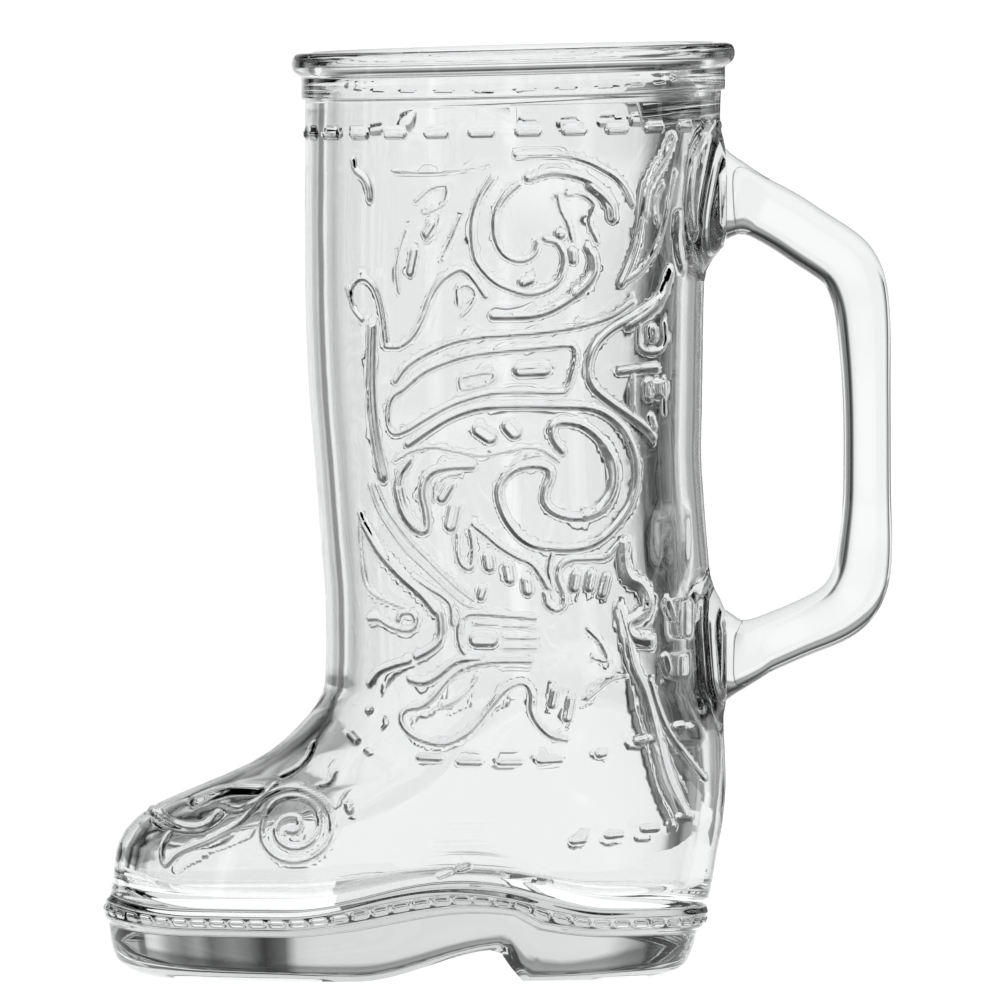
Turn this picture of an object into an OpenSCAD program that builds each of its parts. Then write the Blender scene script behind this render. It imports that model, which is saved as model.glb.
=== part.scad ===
// Boot-shaped beer glass with a handle.
// The boot is one moulded shell of clear glass: mouth, shaft, foot, sole and heel in one piece.
// The handle is a second piece of glass, fused by its two flat ends to bosses on the back of the shaft.
// X runs from the toe to the handle and Z runs up.
// The origin is on the table, under the middle of the whole glass.

/* [Boot] */
// Height of the rim above the table, at the middle of the mouth
boot_h = 167; // [158:1:180]
// Height at which the vamp leaves the front of the shaft
foot_h = 51; // [47:1:55]
// Distance from the axis of the shaft to the tip of the toe
toe_reach = 72.7; // [66:0.1:80]
// Distance from the axis of the shaft to the back of the heel counter
heel_reach = 38.9; // [37:0.1:40.5]
// Mean outside diameter of the shaft
shaft_d = 72; // [69:0.5:75]
// Width of the foot across the ball
foot_w = 63; // [58:0.5:67]
// Thickness of the glass in the shaft and the upper
wall = 4; // [3:0.1:4.6]

/* [Sole and heel] */
// Height of the welt, where the upper meets the sole, at the ball
welt_h = 12; // [10:0.5:14]
// Thickness of the solid glass under the cavity, at the ball
floor_t = 12.4; // [10:0.2:15]
// Height of the heel block in front, which is the clearance under the arch
heel_h = 5.6; // [4:0.1:7]
// How far the welt and the cavity floor rise over the arch
arch_rise = 4.4; // [3:0.1:5.5]
// How far the welt rises at the tip of the toe
toe_rise = 2.2; // [1:0.1:3]
// How far the welt stands out of the upper
welt_out = 0.7; // [0.4:0.1:1]
// Height of the welt strip
welt_strip_h = 3.4; // [2.4:0.1:4]
// Radius of the fillet round the cavity floor
floor_fillet = 6; // [4:0.5:8]

/* [Mouth] */
// Height of the collar under the rim
collar_h = 4.8; // [3.5:0.1:6]
// How far the collar stands out of the shaft
collar_out = 0.7; // [0.4:0.1:1.2]
// Height of the rounded rim
rim_h = 3.6; // [3:0.1:4.5]
// How far the rim stands out of the collar
rim_out = 1.7; // [1:0.1:2.2]
// Thickness of the lip, from the collar to the inside of the mouth
lip_t = 3.6; // [3.2:0.1:4.4]
// Slope of the mouth, in degrees, lower above the toe
mouth_tilt = 1.5; // [0:0.1:2.5]

/* [Handle] */
// Distance from the bottom of the collar down to the middle of the upper boss
upper_boss_drop = 18.6; // [17:0.2:24]
// Distance from the top of the foot up to the middle of the lower boss
lower_boss_rise = 6.6; // [5:0.2:12]
// How far each boss stands out of the back of the shaft
boss_out = 1.8; // [1.2:0.1:2.6]
// Distance from the flat of the bosses to the middle of the grip
handle_span = 25.4; // [23:0.1:30]
// Thickness of the grip, seen from the side
grip_t = 8.6; // [8:0.1:10.5]
// Width of the grip, seen from behind
grip_w = 12.5; // [11:0.5:14]
// Thickness of the limbs, seen from the side
limb_t = 11.4; // [10:0.1:12.5]
// Thickness of the flared end that sits on a boss
root_t = 16.4; // [14:0.2:17]
// Width of the flared end that sits on a boss
root_w = 16; // [14:0.2:17]
// Width of the flat border that a boss leaves round the handle's end
boss_border = 0.6; // [0.4:0.1:1]
// How far the flare of a boss runs out over the shaft
boss_flare = 6.5; // [5:0.5:8]

/* [Hidden] */

glass = [0.87, 0.92, 0.92, 0.5];
shaft_r = shaft_d / 2;
neck_h = boot_h - rim_h - collar_h;

// Outline of the sole: share of welt_h, toe, heel, half width, roundness of the outline
sole_shares = [
    [0.00, 0.800, 0.680, 0.90, 0.80],
    [0.06, 0.872, 0.755, 0.945, 0.80],
    [0.14, 0.922, 0.800, 0.968, 0.80],
    [0.26, 0.957, 0.826, 0.98, 0.80],
    [0.45, 0.978, 0.850, 0.986, 0.80],
    [0.75, 0.989, 0.873, 0.99, 0.80],
    [1.00, 0.982, 0.908, 0.99, 0.80],
];
// Outline of the foot: share from welt_h to foot_h, then as above
foot_shares = [
    [0.07, 0.972, 0.925, 0.985, 0.80],
    [0.17, 0.962, 0.946, 0.985, 0.80],
    [0.27, 0.948, 0.962, 0.99, 0.81],
    [0.34, 0.918, 0.975, 1.00, 0.82],
    [0.41, 0.858, 0.987, 1.012, 0.84],
    [0.48, 0.768, 0.994, 1.025, 0.87],
    [0.55, 0.600, 1.000, 1.04, 0.90],
    [0.62, 0.415, 1.000, 1.055, 0.93],
    [0.69, 0.258, 0.997, 1.072, 0.96],
    [0.76, 0.148, 0.994, 1.087, 0.98],
    [0.83, 0.076, 0.990, 1.10, 1.00],
    [0.90, 0.002, 0.984, 1.108, 1.00],
    [0.96, -0.040, 0.977, 1.113, 1.00],
];
// Outline of the shaft: share from foot_h to neck_h, front, back, both as shares of shaft_r
shaft_shares = [
    [0.00, 0.930, 1.038],
    [0.07, 0.922, 1.027],
    [0.15, 0.924, 1.013],
    [0.24, 0.945, 0.990],
    [0.32, 0.963, 0.971],
    [0.40, 0.981, 0.957],
    [0.49, 1.004, 0.962],
    [0.66, 1.025, 0.970],
    [0.80, 1.028, 1.000],
    [0.90, 1.027, 1.040],
    [1.00, 1.025, 1.057],
];
// The waist draws the outline of the foot in by this share of its half width
waist_share = 0.10;
// Columns of the shell, in degrees from the toe (0) to the heel (180)
toe_column_step = 7;
arch_end_angle = 105;
breast_top_angle = 112.3;
breast_foot_angle = 117.6;
heel_columns = [124, 131, 138, 144.5, 151, 157, 162.5, 167.5, 171.7, 175.9];
// Angles between which the underside rises to the arch, and the welt rises over it
under_start_angle = 80;
welt_start_angle = 65;
welt_top_angle = 99;
welt_end_angle = 133;
toe_end_angle = 44;
waist_angle = 104;
waist_spread_angle = 40;
// The rise of the welt has died out at this share of foot_h
wave_end_share = 0.65;
// The mouth starts to slope at this share of boot_h
tilt_start_share = 0.6;
// Rows of points up the shell: counts for each zone
sole_rows = 7;
foot_rows = 20;
boss_flat_rows = 7;
boss_flare_rows = 3;
shaft_rows = 7;
inner_foot_rows = 13;
inner_shaft_rows = 8;
fillet_rows = 4;
// A small step, for measuring the slope of the surface
probe_angle = 1;
probe_share = 0.002;

function mix(a, b, t) = a + (b - a) * t;
function clamp(v) = min(1, max(0, v));
function smooth(v) = let (t = clamp(v)) t * t * (3 - 2 * t);
function hump(angle, middle, spread) = 0.5 + 0.5 * cos(180 * min(1, abs(angle - middle) / spread));

// A smooth curve through hand-set keys [place, value], which never overshoots between two of them
function key_before(keys, v, i = 0) = (i >= len(keys) - 2 || v < keys[i + 1][0]) ? i : key_before(keys, v, i + 1);
function secant(keys, i) = (keys[i + 1][1] - keys[i][1]) / (keys[i + 1][0] - keys[i][0]);
function tangent(keys, i) =
    i == 0 ? secant(keys, 0) :
    i == len(keys) - 1 ? secant(keys, i - 1) :
    let (a = secant(keys, i - 1), b = secant(keys, i)) a * b <= 0 ? 0 : 2 * a * b / (a + b);
function curve(keys, v) =
    let (
        i = key_before(keys, v),
        w = keys[i + 1][0] - keys[i][0],
        t = clamp((v - keys[i][0]) / w),
        t2 = t * t,
        t3 = t2 * t
    )
    (2 * t3 - 3 * t2 + 1) * keys[i][1] + (t3 - 2 * t2 + t) * w * tangent(keys, i)
    + (3 * t2 - 2 * t3) * keys[i + 1][1] + (t3 - t2) * w * tangent(keys, i + 1);

// The profile of the boot, by height: reach in front and behind, half width and roundness
function profile(low, high) = concat(
    [for (s = sole_shares) [s[0] * welt_h, s[low]]],
    [for (s = foot_shares) [mix(welt_h, foot_h, s[0]), s[low]]],
    [for (s = shaft_shares) [mix(foot_h, neck_h, s[0]), high(s)]]
);
front_keys = [
    for (k = profile(1, function (s) (s[1] - 1) * shaft_r / (toe_reach - shaft_r)))
        [k[0], mix(shaft_r, toe_reach, k[1])]
];
back_keys = [for (k = profile(2, function (s) s[2] * shaft_r / heel_reach)) [k[0], heel_reach * k[1]]];
side_keys = [for (k = profile(3, function (s) (s[1] + s[2]) * shaft_r / foot_w)) [k[0], foot_w / 2 * k[1]]];
round_keys = profile(4, function (s) 1);

// Heights: the welt waves over toe and arch, the underside rises to the heel, the mouth slopes
function welt_wave(angle) =
    arch_rise * hump(angle, welt_top_angle, angle < welt_top_angle ? welt_top_angle - welt_start_angle : welt_end_angle - welt_top_angle)
    + toe_rise * (1 - smooth(angle / toe_end_angle));
function underside(angle) =
    heel_h * (angle < breast_top_angle
        ? smooth((angle - under_start_angle) / (breast_top_angle - under_start_angle))
        : clamp((breast_foot_angle - angle) / (breast_foot_angle - breast_top_angle)));
function from_toe(angle) = angle > 180 ? 360 - angle : angle;
function level(angle, h, x) =
    let (a = from_toe(angle))
    h < welt_h
        ? mix(underside(a), welt_h + welt_wave(a), h / welt_h)
        : h + welt_wave(a) * (1 - smooth((h - welt_h) / (wave_end_share * foot_h - welt_h)))
            + x * tan(mouth_tilt) * smooth((h / boot_h - tilt_start_share) / (1 - tilt_start_share));

// One point of the plain outer surface, at an angle round the boot and a nominal height
function plain_point(angle, h) =
    let (
        front = curve(front_keys, h),
        back = curve(back_keys, h),
        waist = 1 - waist_share * hump(from_toe(angle), waist_angle, waist_spread_angle) * (1 - smooth((h - welt_h) / welt_h)),
        x = mix(-front, back, (1 - cos(angle)) / 2),
        y = curve(side_keys, h) * waist * sign(sin(angle)) * pow(abs(sin(angle)), curve(round_keys, h))
    )
    [x, y, level(angle, h, x)];

// The outward direction there
function outward(angle, h) =
    let (
        dh = probe_share * boot_h,
        along = plain_point(angle + probe_angle, h) - plain_point(angle - probe_angle, h),
        up = plain_point(angle, h + dh) - plain_point(angle, h - dh),
        n = cross(up, along)
    )
    n / norm(n);

// Bosses: flat in the middle, with a concave flare that dies out over the shaft
upper_boss_h = neck_h - upper_boss_drop;
lower_boss_h = foot_h + lower_boss_rise;
seat_x = max(curve(back_keys, upper_boss_h), curve(back_keys, lower_boss_h)) + boss_out;
boss_rz = root_t / 2 + boss_border;
function boss_at(y, dh) =
    let (
        past = norm([max(0, abs(y) - root_w / 4), max(0, abs(dh) - root_t / 4)]),
        away = clamp((past - max(root_w, root_t) / 4 - boss_border) / boss_flare)
    )
    (1 - away) * (1 - away);

// The welt strip: a rounded ridge that follows the wave
function welt_ridge(h) = let (away = abs(h - welt_h + welt_strip_h / 2) / (welt_strip_h / 2)) away < 1 ? welt_out * (1 - away * away) : 0;

function outer_point(angle, h) =
    let (
        p = plain_point(angle, h),
        ridge = welt_ridge(h),
        q = ridge > 0 ? p + ridge * outward(angle, h) : p,
        boss = from_toe(angle) < 90 ? 0 : max(boss_at(p[1], h - upper_boss_h), boss_at(p[1], h - lower_boss_h))
    )
    [mix(q[0], seat_x, boss), q[1], q[2]];

function inner_point(angle, h, inset) = plain_point(angle, h) - inset * outward(angle, h);

// Columns on one side, from toe to heel, then back on the other side
half_columns = concat(
    [for (a = [0 : toe_column_step : arch_end_angle]) a],
    [breast_top_angle, breast_foot_angle],
    heel_columns
);
columns = concat(half_columns, [180], [for (i = [len(half_columns) - 1 : -1 : 1]) 360 - half_columns[i]]);
column_count = len(columns);

// Rows of the outer surface, from the table to the neck
function rows(from, to, count) = [for (i = [0 : count - 1]) mix(from, to, i / count)];
lower_flare_from = lower_boss_h - boss_rz - boss_flare;
lower_flare_to = lower_boss_h + boss_rz + boss_flare;
upper_flare_from = upper_boss_h - boss_rz - boss_flare;
upper_flare_to = upper_boss_h + boss_rz + boss_flare;
welt_strip_foot = welt_h - welt_strip_h;
outer_rows = concat(
    [for (h = rows(0, 1, sole_rows)) h * h * welt_strip_foot],
    rows(welt_strip_foot, welt_h, 4),
    rows(welt_h, lower_flare_from, foot_rows),
    rows(lower_flare_from, lower_boss_h - boss_rz, boss_flare_rows),
    rows(lower_boss_h - boss_rz, lower_boss_h + boss_rz, boss_flat_rows),
    rows(lower_boss_h + boss_rz, lower_flare_to, boss_flare_rows),
    rows(lower_flare_to, upper_flare_from, shaft_rows),
    rows(upper_flare_from, upper_boss_h - boss_rz, boss_flare_rows),
    rows(upper_boss_h - boss_rz, upper_boss_h + boss_rz, boss_flat_rows),
    rows(upper_boss_h + boss_rz, min(upper_flare_to, neck_h - collar_out), boss_flare_rows),
    [min(upper_flare_to, neck_h - collar_out), neck_h - collar_out / 2]
);

// The mouth: a turned profile, as [reach beyond the neck, height]
neck_front = curve(front_keys, neck_h);
neck_back = curve(back_keys, neck_h);
collar_top = neck_h + collar_h;
rim_reach = collar_out + rim_out;
lip_in = collar_out - lip_t;
rim_profile = [
    [collar_out, neck_h],
    [collar_out, collar_top - rim_out / 2],
    [mix(collar_out, rim_reach, 0.7), collar_top],
    [rim_reach, mix(collar_top, boot_h, 0.25)],
    [rim_reach, mix(collar_top, boot_h, 0.65)],
    [mix(collar_out, rim_reach, 0.65), mix(collar_top, boot_h, 0.92)],
    [mix(collar_out, lip_in, 0.1), boot_h],
    [mix(collar_out, lip_in, 0.55), boot_h],
    [mix(collar_out, lip_in, 0.88), mix(collar_top, boot_h, 0.75)],
    [lip_in, collar_top],
];
function mouth_point(angle, out, h) =
    let (x = mix(-neck_front - out, neck_back + out, (1 - cos(angle)) / 2))
    [x, ((neck_front + neck_back) / 2 + out) * sin(angle), level(angle, h, x)];

// Rows of the cavity, from the mouth down to its floor
cavity_edge_h = floor_t + floor_fillet;
inner_rows = concat(
    rows(neck_h, foot_h, inner_shaft_rows),
    rows(foot_h, cavity_edge_h, inner_foot_rows),
    [cavity_edge_h]
);
function fillet_point(angle, turn) =
    let (
        n = outward(angle, cavity_edge_h),
        flat = [n[0], n[1], 0] / norm([n[0], n[1]]),
        p = plain_point(angle, cavity_edge_h) - wall * n
    )
    p - floor_fillet * ((1 - cos(turn)) * flat + [0, 0, sin(turn)]);

boot_rings = concat(
    [for (h = outer_rows) [for (a = columns) outer_point(a, h)]],
    [for (r = rim_profile) [for (a = columns) mouth_point(a, r[0], r[1])]],
    [for (h = inner_rows) [for (a = columns) inner_point(a, h, wall)]],
    [for (i = [1 : fillet_rows]) [for (a = columns) fillet_point(a, 90 * i / fillet_rows)]]
);

// Faces between rings of n points, and flat strips that close the first and the last ring of the boot
function skin(rings, n) = [
    for (r = [0 : rings - 2], i = [0 : n - 1])
        let (a = r * n + i, b = r * n + (i + 1) % n)
            each [[a, b, b + n], [a, b + n, a + n]]
];
function strips(start, n, first) = [
    for (i = [0 : n / 2 - 1])
        let (a = start + i, b = start + i + 1, c = start + (n - i - 1) % n, d = start + (n - i) % n)
            each (i == 0 ? [first ? [a, c, b] : [a, b, c]] :
                i == n / 2 - 1 ? [first ? [a, d, b] : [a, b, d]] :
                first ? [[a, c, b], [a, d, c]] : [[a, b, c], [a, c, d]])
];

// The handle, from the upper boss to the lower one: its middle line as shares of handle_span and
// of the height between the bosses, then how much of the limb's thickness it has over the grip's
handle_shares = [
    [0.00, 1.000, 1.00], [0.07, 0.993, 0.95], [0.15, 0.982, 0.85], [0.27, 0.966, 0.80], [0.45, 0.935, 0.80],
    [0.60, 0.904, 0.80], [0.75, 0.875, 0.82], [0.85, 0.850, 0.82], [0.92, 0.812, 0.75], [0.96, 0.761, 0.55],
    [0.98, 0.690, 0.35], [0.994, 0.588, 0.08], [1.00, 0.480, 0.00], [1.00, 0.350, 0.03], [0.987, 0.249, 0.45],
    [0.965, 0.182, 0.65], [0.895, 0.127, 0.78], [0.80, 0.097, 0.70], [0.68, 0.076, 0.58], [0.50, 0.053, 0.45],
    [0.32, 0.030, 0.50], [0.22, 0.018, 0.60], [0.14, 0.008, 0.70], [0.07, 0.002, 0.85], [0.00, 0.000, 1.00],
];
// The flared ends die out at this share of handle_span
flare_share = 0.27;
handle_steps = 2;
handle_sides = 20;
handle_round = 0.4;
last_key = len(handle_shares) - 1;
function boss_level(h) = level(180, h, seat_x);
function handle_keys(column, from, to) = [for (i = [0 : last_key]) [i, mix(from, to, handle_shares[i][column])]];
reach_keys = handle_keys(0, seat_x, seat_x + handle_span);
rise_keys = handle_keys(1, boss_level(lower_boss_h), boss_level(upper_boss_h));
thick_keys = handle_keys(2, grip_t, limb_t);
function middle_line(t) = [curve(reach_keys, t), 0, curve(rise_keys, t)];
function end_share(t) = clamp(1 - (middle_line(t)[0] - seat_x) / handle_span / flare_share);
function heading(t) =
    let (
        d = middle_line(min(last_key, t + 0.2)) - middle_line(max(0, t - 0.2)),
        square_on = [t < last_key / 2 ? 1 : -1, 0, 0],
        h = mix(d / norm(d), square_on, smooth(end_share(t)))
    )
    h / norm(h);
function handle_ring(t) =
    let (
        middle = middle_line(t),
        flare = pow(end_share(t), 2),
        thick = curve(thick_keys, t),
        side = cross(heading(t), [0, 1, 0]),
        half_t = mix(thick, root_t, flare) / 2,
        half_w = mix(grip_w + (thick - grip_t) / 2, root_w, flare) / 2
    )
    [for (i = [0 : handle_sides - 1])
        let (a = 360 * i / handle_sides)
            middle
            + side * half_t * sign(cos(a)) * pow(abs(cos(a)), handle_round)
            + [0, 1, 0] * half_w * sign(sin(a)) * pow(abs(sin(a)), handle_round)];
handle_rings = [for (i = [0 : last_key * handle_steps]) handle_ring(i / handle_steps)];

// The whole glass is centred on the origin from the tip of the toe to the grip
tip_x = min([for (h = outer_rows) outer_point(0, h)[0]]);
grip_x = max([for (ring = handle_rings, p = ring) p[0]]);
centre_shift = -(tip_x + grip_x) / 2;

module boot_body() {
    count = len(boot_rings);
    color(glass)
        translate([centre_shift, 0, 0])
            polyhedron(
                points = [for (ring = boot_rings) each ring],
                faces = concat(
                    skin(count, column_count),
                    strips(0, column_count, true),
                    strips((count - 1) * column_count, column_count, false)
                )
            );
}

module handle() {
    count = len(handle_rings);
    color(glass)
        translate([centre_shift, 0, 0])
            polyhedron(
                points = [for (ring = handle_rings) each ring],
                faces = concat(
                    skin(count, handle_sides),
                    [[for (i = [handle_sides - 1 : -1 : 0]) i]],
                    [[for (i = [0 : handle_sides - 1]) (count - 1) * handle_sides + i]]
                )
            );
}

boot_body();
handle();
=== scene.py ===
"""A boot-shaped beer glass: pressed clear glass with raised western scrolls, on a pale lit table."""

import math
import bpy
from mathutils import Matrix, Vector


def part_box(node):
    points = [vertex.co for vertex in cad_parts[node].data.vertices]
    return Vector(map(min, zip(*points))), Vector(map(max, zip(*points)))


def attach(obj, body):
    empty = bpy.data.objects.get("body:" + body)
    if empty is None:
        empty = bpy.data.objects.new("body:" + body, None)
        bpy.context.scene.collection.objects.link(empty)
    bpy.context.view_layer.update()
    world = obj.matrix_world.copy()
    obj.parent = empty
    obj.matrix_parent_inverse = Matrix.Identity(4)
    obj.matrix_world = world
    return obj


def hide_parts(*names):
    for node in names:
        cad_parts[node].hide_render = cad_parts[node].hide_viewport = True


bl_info = {
    "name": "Boot Glass",
    "version": (1, 0, 0),
    "blender": (4, 5, 0),
    "location": "View3D > Sidebar > Boot Glass",
    "description": "Builds a pressed glass boot with raised scrolls, its handle and a bright studio",
    "category": "Add Mesh",
}

import bmesh
import bpy
import numpy as np
from bpy.props import FloatProperty, IntProperty, PointerProperty, StringProperty
from mathutils import Vector

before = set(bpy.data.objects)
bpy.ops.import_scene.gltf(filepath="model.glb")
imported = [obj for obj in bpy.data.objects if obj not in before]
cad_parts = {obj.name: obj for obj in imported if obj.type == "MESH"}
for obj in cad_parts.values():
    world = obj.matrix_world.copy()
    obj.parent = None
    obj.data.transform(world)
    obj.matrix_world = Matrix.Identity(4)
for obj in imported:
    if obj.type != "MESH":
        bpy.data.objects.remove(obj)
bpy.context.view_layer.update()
MM = 0.001

# Sizes of the boot in millimetres, the same as the solids have
BOOT_H = 167.0
FOOT_H = 51.0
TOE_REACH = 72.7
HEEL_REACH = 38.9
SHAFT_R = 36.0
FOOT_HALF = 31.5
WALL = 4.0
WELT_H = 12.0
WELT_STRIP_H = 3.4
WELT_OUT = 0.7
FLOOR_T = 12.4
FLOOR_FILLET = 6.0
HEEL_H = 5.6
ARCH_RISE = 4.4
TOE_RISE = 2.2
COLLAR_H = 4.8
COLLAR_OUT = 0.7
RIM_H = 3.6
RIM_OUT = 1.7
LIP_T = 3.6
MOUTH_TILT = math.tan(math.radians(1.5))
NECK_H = BOOT_H - RIM_H - COLLAR_H
COLLAR_TOP = NECK_H + COLLAR_H
CAVITY_EDGE_H = FLOOR_T + FLOOR_FILLET

# Sizes of the handle and of the bosses that it sits on
UPPER_BOSS_H = NECK_H - 18.6
LOWER_BOSS_H = FOOT_H + 6.6
BOSS_OUT = 1.8
BOSS_BORDER = 0.6
BOSS_FLARE = 6.5
HANDLE_SPAN = 25.4
GRIP_T = 8.6
GRIP_W = 12.5
LIMB_T = 11.4
ROOT_T = 16.4
ROOT_W = 16.0

# Outline of the sole: share of WELT_H, toe, heel, half width, roundness
SOLE_SHARES = [
    (0.00, 0.800, 0.680, 0.90, 0.80),
    (0.06, 0.872, 0.755, 0.945, 0.80),
    (0.14, 0.922, 0.800, 0.968, 0.80),
    (0.26, 0.957, 0.826, 0.98, 0.80),
    (0.45, 0.978, 0.850, 0.986, 0.80),
    (0.75, 0.989, 0.873, 0.99, 0.80),
    (1.00, 0.982, 0.908, 0.99, 0.80),
]
# Outline of the foot: share from WELT_H to FOOT_H, then as above
FOOT_SHARES = [
    (0.07, 0.972, 0.925, 0.985, 0.80),
    (0.17, 0.962, 0.946, 0.985, 0.80),
    (0.27, 0.948, 0.962, 0.99, 0.81),
    (0.34, 0.918, 0.975, 1.00, 0.82),
    (0.41, 0.858, 0.987, 1.012, 0.84),
    (0.48, 0.768, 0.994, 1.025, 0.87),
    (0.55, 0.600, 1.000, 1.04, 0.90),
    (0.62, 0.415, 1.000, 1.055, 0.93),
    (0.69, 0.258, 0.997, 1.072, 0.96),
    (0.76, 0.148, 0.994, 1.087, 0.98),
    (0.83, 0.076, 0.990, 1.10, 1.00),
    (0.90, 0.002, 0.984, 1.108, 1.00),
    (0.96, -0.040, 0.977, 1.113, 1.00),
]
# Outline of the shaft: share from FOOT_H to NECK_H, front, back, both as shares of SHAFT_R
SHAFT_SHARES = [
    (0.00, 0.930, 1.038),
    (0.07, 0.922, 1.027),
    (0.15, 0.924, 1.013),
    (0.24, 0.945, 0.990),
    (0.32, 0.963, 0.971),
    (0.40, 0.981, 0.957),
    (0.49, 1.004, 0.962),
    (0.66, 1.025, 0.970),
    (0.80, 1.028, 1.000),
    (0.90, 1.027, 1.040),
    (1.00, 1.025, 1.057),
]
# The handle's middle line: share of the span, share of the height between bosses, thickness
HANDLE_SHARES = [
    (0.00, 1.000, 1.00), (0.07, 0.993, 0.95), (0.15, 0.982, 0.85), (0.27, 0.966, 0.80), (0.45, 0.935, 0.80),
    (0.60, 0.904, 0.80), (0.75, 0.875, 0.82), (0.85, 0.850, 0.82), (0.92, 0.812, 0.75), (0.96, 0.761, 0.55),
    (0.98, 0.690, 0.35), (0.994, 0.588, 0.08), (1.00, 0.480, 0.00), (1.00, 0.350, 0.03), (0.987, 0.249, 0.45),
    (0.965, 0.182, 0.65), (0.895, 0.127, 0.78), (0.80, 0.097, 0.70), (0.68, 0.076, 0.58), (0.50, 0.053, 0.45),
    (0.32, 0.030, 0.50), (0.22, 0.018, 0.60), (0.14, 0.008, 0.70), (0.07, 0.002, 0.85), (0.00, 0.000, 1.00),
]
FLARE_SHARE = 0.27
HANDLE_ROUND = 0.4

# The ornament is placed in the photograph's pixels, across the axis of the shaft and up from the table
PX_MM = 0.18
AXIS_PX = 510
TABLE_PX = 975
# Half the boot's width over the camera's distance, and the camera's height in mm: a line on the near side
# shows lower than it is, and one on the far side higher
SIDE_DROP = 0.008
EYE_H = 222
# The far side is drawn wider than the near side, more so near the seams, since the round shaft draws in
# what shows through it: so its lines lie right behind those of the near side
NEAR_X = np.linspace(-SHAFT_R, SHAFT_R, 145)
FAR_X = NEAR_X * (1.10 + 0.047 * (NEAR_X / SHAFT_R) ** 2 + 0.063 * (NEAR_X / SHAFT_R) ** 4)
FAR_CHAIN_SHARE = 0.4

# Kinds of raised line: half width in mm, share of the ridge's edge width, share of its height. The broad
# ones near the seams slope gently, because the glass is seen at a slant there
FINE, PLAIN, BOLD, DEEP = (0.20, 1.0, 0.42), (0.26, 1.2, 0.66), (0.36, 1.8, 0.95), (0.50, 2.6, 1.25)
SIDE, EDGE = (0.50, 4.0, 1.5), (0.60, 5.0, 1.0)

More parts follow.
